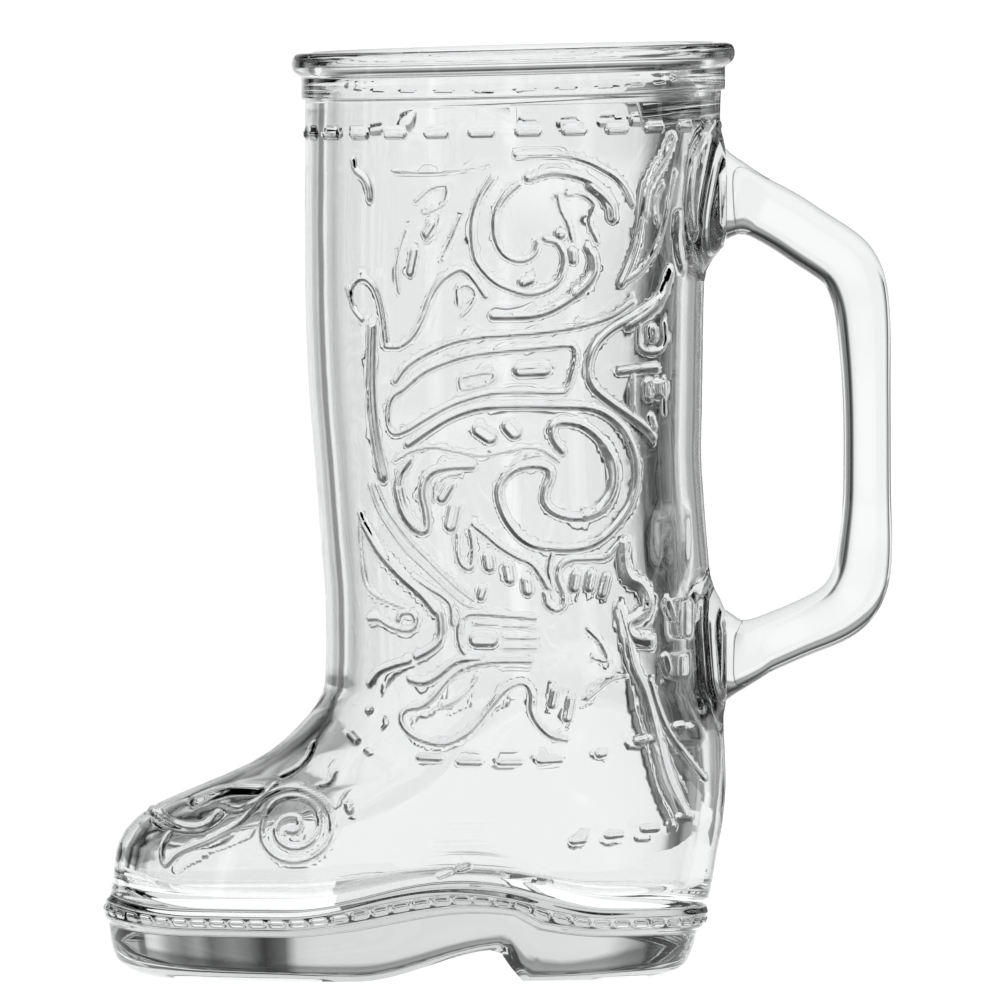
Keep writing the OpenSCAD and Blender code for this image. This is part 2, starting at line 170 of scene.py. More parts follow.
# Raised lines: the kind, then the pixels that the line runs through
LINES_PX = {
    "upper scroll, outer arc": (PLAIN, [
        (516, 155), (542, 154), (566, 155), (587, 161), (601, 168), (615, 177), (625, 189), (632, 204)]),
    "upper scroll, inner arc": (BOLD, [
        (528, 178), (549, 172), (571, 174), (590, 181), (604, 193), (611, 203), (613, 218)]),
    "upper scroll, left": (PLAIN, [
        (493, 177), (481, 196), (474, 217), (473, 236), (476, 257), (483, 269), (495, 281), (509, 288),
        (526, 293), (542, 291), (556, 283), (562, 272), (564, 257), (557, 243), (545, 239)]),
    "upper scroll, hook": (PLAIN, [
        (519, 183), (505, 196), (496, 213), (495, 231), (499, 246), (507, 256), (519, 260), (530, 257),
        (536, 250), (538, 242)]),
    "upper scroll, tail": (BOLD, [
        (587, 248), (593, 262), (591, 276), (580, 290), (564, 302), (547, 311), (531, 315), (512, 316),
        (493, 316)]),
    "upper leaf": (FINE, [(558, 196), (561, 210), (568, 224), (572, 240)]),
    "upper leaf, fold": (FINE, [(566, 194), (582, 194), (594, 205), (589, 222), (597, 241)]),
    "left comma": (BOLD, [(354, 161), (356, 170), (365, 178), (370, 189), (371, 199)]),
    "left brow": (FINE, [(394, 171), (436, 171), (472, 167), (490, 162)]),
    "left petal": (FINE, [(416, 201), (431, 188), (447, 185), (446, 201), (433, 210), (424, 213)]),
    "left petal, lower": (FINE, [(427, 241), (437, 229), (441, 218)]),
    "left petal, outer": (FINE, [(408, 231), (401, 253), (398, 272), (400, 293)]),
    "left petal, inner": (FINE, [(462, 217), (453, 239), (443, 260)]),
    "S-curve": (PLAIN, [
        (387, 347), (401, 346), (414, 335), (424, 316), (431, 297), (441, 281), (453, 272), (462, 269),
        (472, 276), (486, 296)]),
    "S-curve, leaf": (FINE, [(459, 305), (459, 288), (469, 285), (476, 293), (472, 305), (462, 316)]),
    "teardrop": (PLAIN, [
        (363, 321), (354, 309), (351, 295), (356, 283), (365, 279), (374, 286), (380, 300), (384, 320),
        (387, 347)]),
    "stem": (DEEP, [(373, 328), (372, 360), (372, 395), (375, 430), (380, 460), (384, 479)]),
    "upper scroll, crescent": (DEEP, [(590, 186), (602, 196), (610, 207), (612, 218)]),
    "upper scroll, tail crescent": (DEEP, [(592, 256), (593, 270), (586, 283), (574, 294)]),
    "main scroll, crescent": (DEEP, [(604, 446), (612, 462), (614, 480), (610, 497), (600, 510), (584, 517)]),
    "left curl, crescent": (DEEP, [(399, 490), (403, 507), (410, 521), (420, 530)]),
    "left sweep, crescent": (DEEP, [(365, 526), (382, 554), (402, 576), (424, 596), (437, 612)]),
    "right strap, upper crescent": (SIDE, [(669, 273), (661, 297), (646, 313), (628, 325)]),
    "right boss, crescent": (EDGE, [(700, 138), (692, 156), (689, 185), (689, 212), (692, 234)]),
    "right boss, lower": (EDGE, [(677, 218), (676, 246), (680, 268)]),
    "belt loop": (PLAIN, [(638, 326), (638, 346), (646, 353), (659, 352), (665, 343), (664, 324)]),
    "belt loop, bar": (BOLD, [(619, 372), (638, 370), (656, 369)]),
    "belt loop, left": (PLAIN, [(632, 376), (632, 414)]),
    "belt loop, right": (PLAIN, [(663, 380), (664, 416)]),
    "strap, upper edge": (PLAIN, [
        (396, 382), (408, 366), (429, 352), (455, 341), (481, 336), (507, 334), (535, 332), (566, 328),
        (590, 323), (613, 315), (632, 302)]),
    "panel": (PLAIN, [
        (403, 390), (424, 372), (448, 361), (472, 354), (502, 350), (526, 348), (562, 345), (574, 348),
        (574, 366), (567, 388), (558, 392), (526, 391), (495, 392), (472, 397), (448, 406), (424, 420),
        (408, 430), (395, 434), (389, 425), (389, 408), (394, 396), (403, 390)]),
    "panel, slot": (FINE, [
        (462, 389), (461, 379), (470, 375), (490, 372), (495, 376), (488, 383), (470, 388), (462, 389)]),
    "right strap": (BOLD, [
        (665, 281), (656, 300), (634, 316), (613, 328), (599, 340), (591, 354), (588, 371), (593, 387),
        (608, 401), (627, 415), (646, 430), (653, 439)]),
    "main scroll": (BOLD, [
        (409, 445), (434, 427), (455, 415), (481, 407), (519, 405), (566, 406), (590, 408), (608, 416),
        (623, 431), (633, 452), (636, 475), (632, 499), (620, 520), (601, 539), (578, 548), (542, 547),
        (523, 539), (509, 523), (501, 506), (499, 490), (505, 477), (517, 468), (533, 465), (547, 468),
        (550, 477), (545, 490), (545, 503), (555, 513), (573, 518), (589, 516), (601, 506), (611, 490),
        (613, 471), (606, 450), (594, 434), (578, 424), (559, 422), (552, 428), (554, 440), (562, 451)]),
    "wave": (FINE, [
        (396, 461), (413, 451), (434, 447), (457, 451), (481, 455), (505, 451), (528, 447), (543, 450),
        (558, 460)]),
    "wave, lower": (FINE, [(511, 469), (517, 463), (526, 457), (540, 455)]),
    "left curl": (BOLD, [
        (410, 461), (401, 475), (398, 494), (403, 509), (410, 523), (418, 531), (427, 530), (427, 514),
        (423, 494), (427, 478), (437, 470), (454, 467), (473, 466)]),
    "left curl, inner": (FINE, [(435, 500), (437, 485), (447, 476), (462, 473)]),
    "left sweep": (BOLD, [
        (361, 516), (368, 532), (380, 551), (396, 570), (413, 586), (429, 600), (439, 612), (442, 627),
        (440, 641), (431, 650), (417, 658)]),
    "left sweep, fin": (FINE, [
        (361, 516), (361, 546), (364, 575), (369, 591), (384, 601), (408, 610)]),
    "berry": (PLAIN, [
        (369, 621), (380, 621), (390, 627), (403, 631), (413, 630), (417, 622), (412, 614), (402, 615),
        (399, 622)]),
    "double sweep, upper": (FINE, [
        (377, 486), (388, 510), (402, 530), (416, 547), (430, 561), (444, 575), (458, 588), (474, 600)]),
    "double sweep, lower": (FINE, [
        (370, 486), (380, 513), (394, 535), (408, 553), (424, 568), (438, 581), (452, 594), (467, 605),
        (495, 613), (533, 619)]),
    "double sweep, fold": (PLAIN, [(413, 577), (431, 589), (443, 596), (452, 606), (454, 625)]),
    "long drop": (PLAIN, [
        (459, 535), (459, 553), (463, 565), (471, 568), (474, 556), (473, 540), (471, 530)]),
    "fan, left rib": (PLAIN, [
        (474, 525), (486, 534), (500, 546), (516, 556), (531, 563), (540, 574), (548, 588)]),
    "fan, stem": (PLAIN, [
        (545, 594), (548, 605), (557, 610), (564, 604), (563, 592), (558, 579), (560, 567), (570, 560),
        (590, 559), (606, 557), (617, 545)]),
    "fan, spur": (FINE, [(552, 554), (549, 570), (552, 586)]),
    "right drop": (SIDE, [
        (622, 545), (623, 565), (628, 579), (640, 587), (647, 601), (645, 612), (636, 619), (627, 625),
        (631, 638), (648, 642)]),
    "right ear": (FINE, [(587, 629), (600, 643), (607, 661), (592, 658)]),
    "box": (PLAIN, [(535, 618), (500, 615), (470, 614), (461, 624), (460, 640), (466, 654), (482, 656)]),
    "box, slats": (FINE, [(535, 627), (503, 625), (474, 623)]),
    "box, middle slat": (FINE, [(504, 637), (520, 638), (536, 638)]),
    "box, lower slat": (FINE, [(504, 648), (520, 648), (536, 648)]),
    "lower strap": (BOLD, [(370, 687), (380, 674), (394, 667), (410, 662)]),
    "lower strap, edge": (BOLD, [(411, 681), (424, 683), (437, 677), (453, 664), (463, 660), (480, 659)]),
    "lower leaf": (PLAIN, [
        (530, 661), (503, 661), (481, 663), (462, 669), (448, 680), (434, 697), (422, 707), (407, 711),
        (402, 721), (409, 733), (424, 741), (446, 744), (470, 731), (490, 707), (505, 690), (519, 683),
        (528, 686), (532, 696), (532, 711), (539, 725), (551, 736), (566, 740)]),
    "lower leaf, vein": (FINE, [(443, 707), (457, 700), (470, 688), (477, 676)]),
    "right shoulder": (FINE, [(626, 677), (612, 680), (598, 690), (586, 700)]),
    "right leaf": (SIDE, [(671, 138), (663, 157), (652, 174), (645, 190), (642, 212)]),
    "right leaf, tip": (BOLD, [(641, 214), (638, 232), (634, 250), (628, 267), (621, 284)]),
    "right leaf, back": (PLAIN, [(624, 281), (638, 272), (650, 257), (660, 237), (668, 205), (674, 172)]),
    "right leaf, rib": (PLAIN, [(662, 186), (655, 200), (656, 222)]),
    "counter": (SIDE, [
        (619, 612), (626, 640), (632, 668), (643, 692), (651, 722), (658, 752), (667, 784), (683, 818)]),
    "counter, edge": (PLAIN, [(650, 684), (657, 708), (668, 734), (686, 760), (704, 784)]),
    "vamp, spiral": (PLAIN, [
        (289, 833), (297, 833), (301, 826), (297, 819), (286, 820), (278, 829), (279, 841), (290, 849),
        (305, 848), (317, 838), (321, 822), (314, 806), (298, 799), (281, 802), (270, 812), (264, 828),
        (265, 844), (275, 857), (291, 863), (310, 860), (326, 848), (333, 831), (330, 813), (320, 801),
        (302, 792), (283, 792), (266, 800), (252, 814), (240, 826), (213, 842), (194, 850), (178, 858),
        (167, 869), (163, 861), (164, 850), (171, 838)]),
    "vamp, crest": (DEEP, [(196, 806), (210, 800), (226, 795), (244, 794), (262, 794)]),
    "vamp, fold": (PLAIN, [(224, 808), (238, 812), (252, 808), (266, 798), (276, 788)]),
    "toe cap": (DEEP, [(149, 814), (160, 822), (172, 828), (186, 832), (200, 832), (212, 827), (220, 818)]),
    "instep": (PLAIN, [(282, 780), (293, 775), (303, 768), (310, 759), (314, 748)]),
    "instep, lower": (PLAIN, [(320, 788), (330, 785), (336, 774)]),
}

# Raised pads: the middle, the half length, the half width and the turn in degrees
PADS_PX = [
    (485, 433, 12, 6, 35), (512, 429, 10, 6, 50), (446, 492, 11, 4, -60), (453, 517, 14, 5, -78),
    (489, 562, 9, 4, 82), (509, 573, 10, 4, 82), (527, 586, 9, 4, 82), (482, 593, 7, 3, -75),
    (532, 370, 17, 5, -2), (484, 640, 13, 6, 0), (569, 709, 13, 3.5, -82), (553, 698, 10, 2.5, -80),
    (350, 293, 6, 3, 70), (413, 262, 14, 3, -78), (430, 229, 9, 3, -60), (572, 256, 7, 3, 85),
    (527, 281, 7, 3, -25), (560, 234, 4, 4, 0), (445, 876, 8, 2.5, -20), (464, 870, 7, 2.5, -18),
    (354, 740, 8, 3, 40), (370, 713, 4, 3, 0), (350, 809, 6, 3, 75), (644, 742, 10, 3, -8),
    (679, 730, 7, 3.5, -8), (684, 821, 8, 3.5, 0), (650, 832, 9, 2.5, -3), (614, 838, 9, 2, -6),
    (601, 755, 5, 2.5, -15), (578, 843, 8, 2, -6), (430, 759, 12, 1.8, 2), (470, 763, 12, 1.8, 1),
    (510, 763, 12, 1.8, 0), (550, 761, 12, 1.8, -3), (651, 334, 8, 5, 85), (648, 391, 11, 6, 88),
    (651, 424, 9, 4, 70), (604, 586, 12, 3.5, -75),
    (590, 582, 10, 4, -80), (575, 582, 10, 4, -80), (668, 612, 12, 6, 60), (665, 667, 11, 6, 70),
]
PAD_HEIGHT_SHARE = 0.8

# Broad mounds by the back seam: the middle, the half height in pixels, then in mm the half width, the width
# of the edges above and below, that of the edges on both sides, and how far they stand out
MOUNDS_PX = [
    (680, 622, 19, 2.5, 0.8, 5.0, 0.42), (677, 669, 12, 2.2, 0.8, 4.4, 0.40),
    (657, 391, 8, 1.5, 0.6, 3.0, 0.42), (672, 541, 24, 4.5, 5.0, 3.5, 0.45),
    (686, 737, 9, 2.0, 0.6, 4.0, 0.30),
]

# The ring of stitches under the collar, and the chain of stitches along the welt
RING_STITCHES = 28
RING_TURN = 2.0
RING_DROP_MM = 6.3
RING_STITCH_MM = (2.2, 0.62)
WELT_STITCH_PITCH_MM = 3.7
WELT_STITCH_MM = (1.25, 0.42)
WELT_STITCH_LEAN = 0.55


# Small helpers

def mix(a, b, t):
    return a + (b - a) * t


def smooth(t):
    """The S-curve 3t^2 - 2t^3 between 0 and 1."""
    t = np.clip(t, 0, 1)
    return t * t * (3 - 2 * t)


def hump(angle, middle, spread):
    """A cosine hump of height 1 round the middle, 0 beyond the spread."""
    return 0.5 + 0.5 * np.cos(np.pi * np.minimum(1, np.abs(angle - middle) / spread))


def curve(keys, at):
    """A curve through keys (place, value) that never overshoots: cubic pieces, each key's slope the
    harmonic mean of the slopes on both sides, and level at a peak."""
    keys = np.asarray(keys, float)
    x, y = keys[:, 0], keys[:, 1]
    slope = np.diff(y) / np.diff(x)
    product = slope[:-1] * slope[1:]
    total = slope[:-1] + slope[1:]
    inner = np.where(product > 0, 2 * product / np.where(total == 0, 1, total), 0)
    m = np.concatenate([slope[:1], inner, slope[-1:]])
    i = np.clip(np.searchsorted(x, at, side="right") - 1, 0, len(x) - 2)
    w = x[i + 1] - x[i]
    t = np.clip((at - x[i]) / w, 0, 1)
    t2, t3 = t * t, t * t * t
    return ((2 * t3 - 3 * t2 + 1) * y[i] + (t3 - 2 * t2 + t) * w * m[i]
            + (3 * t2 - 2 * t3) * y[i + 1] + (t3 - t2) * w * m[i + 1])


def spline(points, per_span):
    """Points along a Catmull-Rom curve through the given points, per_span of them for each span."""
    p = np.asarray(points, float)
    p = np.vstack([2 * p[0] - p[1], p, 2 * p[-1] - p[-2]])
    t = np.linspace(0, 1, per_span, endpoint=False)[None, :, None]
    a, b, c, d = (p[k:len(p) - 3 + k, None, :] for k in range(4))
    run = 0.5 * (2 * b + (c - a) * t + (2 * a - 5 * b + 4 * c - d) * t ** 2
                 + (3 * b - a - 3 * c + d) * t ** 3)
    return np.vstack([run.reshape(-1, p.shape[1]), p[-2][None]])


def blurred(values, sigma, axes):
    """The array with a Gaussian blur of sigma cells along each of the axes."""
    half = int(4 * sigma) + 1
    weights = np.exp(-0.5 * (np.arange(-half, half + 1) / sigma) ** 2)
    weights /= weights.sum()
    for axis in axes:
        width = [(0, 0)] * values.ndim
        width[axis] = (half, half)
        mode = {"mode": "reflect", "reflect_type": "odd"} if values.ndim == 1 else {"mode": "edge"}
        padded = np.pad(values, width, **mode)
        values = sum(w * np.take(padded, np.arange(k, k + values.shape[axis]), axis)
                     for k, w in enumerate(weights))
    return values


# The shape of the boot

PROFILE_STEP = 0.25
PROFILE_BLUR = 5.0
PROFILE_H = np.arange(0, NECK_H + PROFILE_STEP, PROFILE_STEP)


def profile(column, shaft_value):
    """A value by height up the boot, from its share tables, blurred a little so that the glass bends light evenly."""
    keys = [(s[0] * WELT_H, s[column]) for s in SOLE_SHARES]
    keys += [(mix(WELT_H, FOOT_H, s[0]), s[column]) for s in FOOT_SHARES]
    keys += [(mix(FOOT_H, NECK_H, s[0]), shaft_value(s)) for s in SHAFT_SHARES]
    exact = curve(keys, PROFILE_H)
    soft = blurred(exact, PROFILE_BLUR, [0])
    return mix(exact, soft, smooth((PROFILE_H - WELT_H * 0.4) / (WELT_H * 0.6)))


def toe_share(s):
    return (s[1] - 1) * SHAFT_R / (TOE_REACH - SHAFT_R)


FRONT = mix(SHAFT_R, TOE_REACH, profile(1, toe_share))
BACK = HEEL_REACH * profile(2, lambda s: s[2] * SHAFT_R / HEEL_REACH)
HALF = FOOT_HALF * profile(3, lambda s: (s[1] + s[2]) * SHAFT_R / FOOT_HALF / 2)
ROUND = profile(4, lambda s: 1.0)


def at_height(table, h):
    return np.interp(h, PROFILE_H, table)


SEAT_X = max(at_height(BACK, UPPER_BOSS_H), at_height(BACK, LOWER_BOSS_H)) + BOSS_OUT
# Where the axis of the shaft stands in the frame, from the plane that the handle's ends lie in
AXIS_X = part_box("handle")[0][0] / MM - SEAT_X


def welt_wave(angle):
    """How far the welt rises: a hump over the arch and a lift at the toe."""
    spread = np.where(angle < 99, 34, 34)
    return ARCH_RISE * hump(angle, 99, spread) + TOE_RISE * (1 - smooth(angle / 44))


def underside(angle):
    """The underside: flat under the toe, rising to the arch, down the slanted breast of the heel, flat."""
    rise = smooth((angle - 80) / (112.3 - 80))
    breast = np.clip((117.6 - angle) / (117.6 - 112.3), 0, 1)
    return HEEL_H * np.where(angle < 112.3, rise, breast)


def level(angle, h, x):
    """Real height of a nominal height: the sole waves with the welt and the mouth slopes."""
    a = 180 - np.abs(180 - angle)
    low = mix(underside(a), WELT_H + welt_wave(a), h / WELT_H)
    fade = 1 - smooth((h - WELT_H) / (0.65 * FOOT_H - WELT_H))
    high = h + welt_wave(a) * fade + x * MOUTH_TILT * smooth((h / BOOT_H - 0.6) / 0.4)
    return np.where(h < WELT_H, low, high)


def plain(angle, h):
    """A point of the outer surface without ornament: x by the cosine of the angle between toe and heel,
    y by a power of its sine, z by the nominal height."""
    a = 180 - np.abs(180 - angle)
    rad = np.radians(angle)
    waist = 1 - 0.10 * hump(a, 104, 40) * (1 - smooth((h - WELT_H) / WELT_H))
    x = mix(-at_height(FRONT, h), at_height(BACK, h), (1 - np.cos(rad)) / 2)
    sine = np.sin(rad)
    y = at_height(HALF, h) * waist * np.sign(sine) * np.abs(sine) ** at_height(ROUND, h)
    return np.stack([x, y, level(angle, h, x)], -1)


def outward(angle, h):
    """The outward direction of the plain surface, from its slopes."""
    along = plain(angle + 1, h) - plain(angle - 1, h)
    up = plain(angle, h + 0.3) - plain(angle, h - 0.3)
    n = np.cross(along, up)
    n = np.where(along[..., :1] * 0 + np.sum(n * 1, -1, keepdims=True) == 0, np.array([0, 0, 1.0]), n)
    return -n / np.linalg.norm(n, axis=-1, keepdims=True)


def boss(y, dh):
    """How much a point of the back is drawn out to the seat: 1 on the flat, then a concave flare."""
    past = np.hypot(np.maximum(0, np.abs(y) - ROOT_W / 4), np.maximum(0, np.abs(dh) - ROOT_T / 4))
    away = np.clip((past - max(ROOT_W, ROOT_T) / 4 - BOSS_BORDER) / BOSS_FLARE, 0, 1)
    return (1 - away) ** 2


# The ornament, as a map of heights over the unrolled side of the boot

MAP_STEP = 0.15
MAP_LOW = np.array([-78.0, 0.0])
MAP_CELLS = (940, 1130)
MAP_BLUR = 0.9


def unrolled(x, z):
    """Distance along the surface from the middle of the side: an arc on the round shaft, x itself on the foot."""
    arc = SHAFT_R * np.arcsin(np.clip(x / (SHAFT_R + 1.5), -1, 1))
    return mix(x, arc, smooth((z - 40) / 12))


def from_px(points):
    """Pixels of the photograph to millimetres on the unrolled side."""
    p = np.asarray(points, float)
    x = (p[:, 0] - AXIS_PX) * PX_MM
    z = (TABLE_PX - p[:, 1]) * PX_MM
    return np.stack([unrolled(x, z), z], -1)


def raised(distance, half_width, edge):
    """Cross-section of a raised line: round on top, with soft steep sides, 0 beyond its half width."""
    return smooth((half_width + edge / 2 - distance) / edge)


def ornament_map(height, edge):
    """Height of the ornament in millimetres on a grid over the unrolled side."""
    grid = np.zeros(MAP_CELLS)
    s = MAP_LOW[0] + MAP_STEP * np.arange(MAP_CELLS[0])
    z = MAP_LOW[1] + MAP_STEP * np.arange(MAP_CELLS[1])

    def window(low, high):
        """The part of the grid between two corners."""
        i = np.clip(((np.array([low, high]) - MAP_LOW) / MAP_STEP).astype(int) + [[0, 0], [2, 2]], 0, MAP_CELLS)
        return slice(i[0, 0], i[1, 0]), slice(i[0, 1], i[1, 1])

    for (half_width, edge_share, height_share), points in LINES_PX.values():
        path = from_px(spline(points, 8))
        line_edge = edge * edge_share
        reach = half_width + line_edge
        for a, b in zip(path[:-1], path[1:]):
            cells = window(np.minimum(a, b) - reach, np.maximum(a, b) + reach)
            ss, zz = np.meshgrid(s[cells[0]], z[cells[1]], indexing="ij")
            d = b - a
            t = np.clip(((ss - a[0]) * d[0] + (zz - a[1]) * d[1]) / max(d @ d, 1e-9), 0, 1)
            gap = np.hypot(ss - a[0] - t * d[0], zz - a[1] - t * d[1])
            ridge = height * height_share * raised(gap, half_width, line_edge)
            grid[cells] = np.maximum(grid[cells], ridge)
    for px, py, half_l, half_w, turn in PADS_PX:
        middle = from_px([(px, py)])[0]
        half_l, half_w = half_l * PX_MM, half_w * PX_MM
        reach = max(half_l, half_w) + edge
        cells = window(middle - reach, middle + reach)
        ss, zz = np.meshgrid(s[cells[0]] - middle[0], z[cells[1]] - middle[1], indexing="ij")
        c, sn = math.cos(math.radians(turn)), math.sin(math.radians(turn))
        along, across = ss * c - zz * sn, ss * sn + zz * c
        short = min(half_l, half_w)
        gap = np.hypot(np.maximum(0, np.abs(along) - half_l + short),
                       np.maximum(0, np.abs(across) - half_w + short))
        grid[cells] = np.maximum(grid[cells], height * PAD_HEIGHT_SHARE * raised(gap, short, edge))
    for px, py, half_h, half_w, edge_h, edge_w, rise in MOUNDS_PX:
        middle = from_px([(px, py)])[0]
        half_h = half_h * PX_MM
        reach = np.array([half_w + edge_w, half_h + edge_h])
        cells = window(middle - reach, middle + reach)
        ss, zz = np.meshgrid(s[cells[0]] - middle[0], z[cells[1]] - middle[1], indexing="ij")
        mound = rise * raised(np.abs(ss), half_w, edge_w) * raised(np.abs(zz), half_h, edge_h)
        grid[cells] = np.maximum(grid[cells], mound)
    return blurred(grid, MAP_BLUR, [0, 1])


def on_map(grid, s, z):
    """The map's value at places on the unrolled side, from the four cells round each."""
    p = (np.stack([s, z]) - MAP_LOW[:, None]) / MAP_STEP
    p = np.clip(p, 0, np.array(MAP_CELLS)[:, None] - 2.001)
    i, j = p.astype(int)
    f, g = p - [i, j]
    return (mix(mix(grid[i, j], grid[i + 1, j], f), mix(grid[i, j + 1], grid[i + 1, j + 1], f), g))


def arc_keys():
    """Length along the welt from the toe, by angle."""
    angle = np.linspace(0, 180, 361)
    p = plain(angle, np.full_like(angle, WELT_H - WELT_STRIP_H / 2))
    step = np.linalg.norm(np.diff(p, axis=0), axis=1)
    return angle, np.concatenate([[0], np.cumsum(step)])


ARC_ANGLE, ARC_LENGTH = arc_keys()


def stitches(angle, h, height, edge):
    """Raised stitches: a ring of dashes under the collar and a leaning chain along the welt."""
    pitch = 360 / RING_STITCHES
    a = 180 - np.abs(180 - angle)
    along = (np.mod(a + RING_TURN, pitch) - pitch / 2) * math.radians(1) * SHAFT_R
    half_l, half_w = RING_STITCH_MM
    gap = np.hypot(np.maximum(0, np.abs(along) - half_l + half_w), h - (NECK_H - RING_DROP_MM))
    ring = raised(gap, half_w, edge)
    run = np.interp(a, ARC_ANGLE, ARC_LENGTH)
    across = h - (WELT_H - WELT_STRIP_H / 2)
    run = np.mod(run, WELT_STITCH_PITCH_MM) - WELT_STITCH_PITCH_MM / 2 + across * WELT_STITCH_LEAN
    half_l, half_w = WELT_STITCH_MM
    gap = np.hypot(np.maximum(0, np.abs(run) - half_l + half_w), across)
    chain = raised(gap, half_w, edge)
    return height * (ring + chain * np.where(angle < 180, FAR_CHAIN_SHARE, 0.8))


def welt_strip(h, edge):
    """The strip round the welt: a flat band with soft edges."""
    away = np.abs(h - WELT_H + WELT_STRIP_H / 2)
    return WELT_OUT * smooth((WELT_STRIP_H / 2 + edge / 2 - away) / edge)


# Zones of the boot's section, each from 0 to 1: the sole, the outside, the rim, the cavity, its fillet, its floor

NECK_FRONT = at_height(FRONT, NECK_H)
NECK_BACK = at_height(BACK, NECK_H)
LIP_IN = COLLAR_OUT - LIP_T
RIM_REACH = COLLAR_OUT + RIM_OUT
COLLAR_FILLET = 0.35
RIM_PROFILE = spline([
    (0, NECK_H - COLLAR_FILLET), (COLLAR_OUT * 0.2, NECK_H - COLLAR_FILLET * 0.5),
    (COLLAR_OUT * 0.8, NECK_H - COLLAR_FILLET * 0.2), (COLLAR_OUT, NECK_H + COLLAR_FILLET),
    (COLLAR_OUT, mix(NECK_H, COLLAR_TOP, 0.4)), (COLLAR_OUT, COLLAR_TOP - RIM_OUT * 0.8),
    (COLLAR_OUT + 0.1, COLLAR_TOP - RIM_OUT * 0.45), (mix(COLLAR_OUT, RIM_REACH, 0.7), COLLAR_TOP),
    (RIM_REACH, mix(COLLAR_TOP, BOOT_H, 0.28)), (RIM_REACH, mix(COLLAR_TOP, BOOT_H, 0.60)),
    (mix(COLLAR_OUT, RIM_REACH, 0.68), mix(COLLAR_TOP, BOOT_H, 0.90)),
    (mix(COLLAR_OUT, LIP_IN, 0.08), BOOT_H), (mix(COLLAR_OUT, LIP_IN, 0.5), BOOT_H),
    (mix(COLLAR_OUT, LIP_IN, 0.84), mix(COLLAR_TOP, BOOT_H, 0.80)), (LIP_IN, mix(COLLAR_TOP, BOOT_H, 0.35)),
    (LIP_IN - 0.1, COLLAR_TOP - 0.6), (mix(LIP_IN, -WALL, 0.7), mix(NECK_H, COLLAR_TOP, 0.4)),
    (-WALL, NECK_H - 0.6), (-WALL, NECK_H - 2.0),
], 8)
INSIDE_TOP_H = NECK_H - 2.0


ROUGH_BEND = 1.0
ROUGH_STEP_MM = 0.06


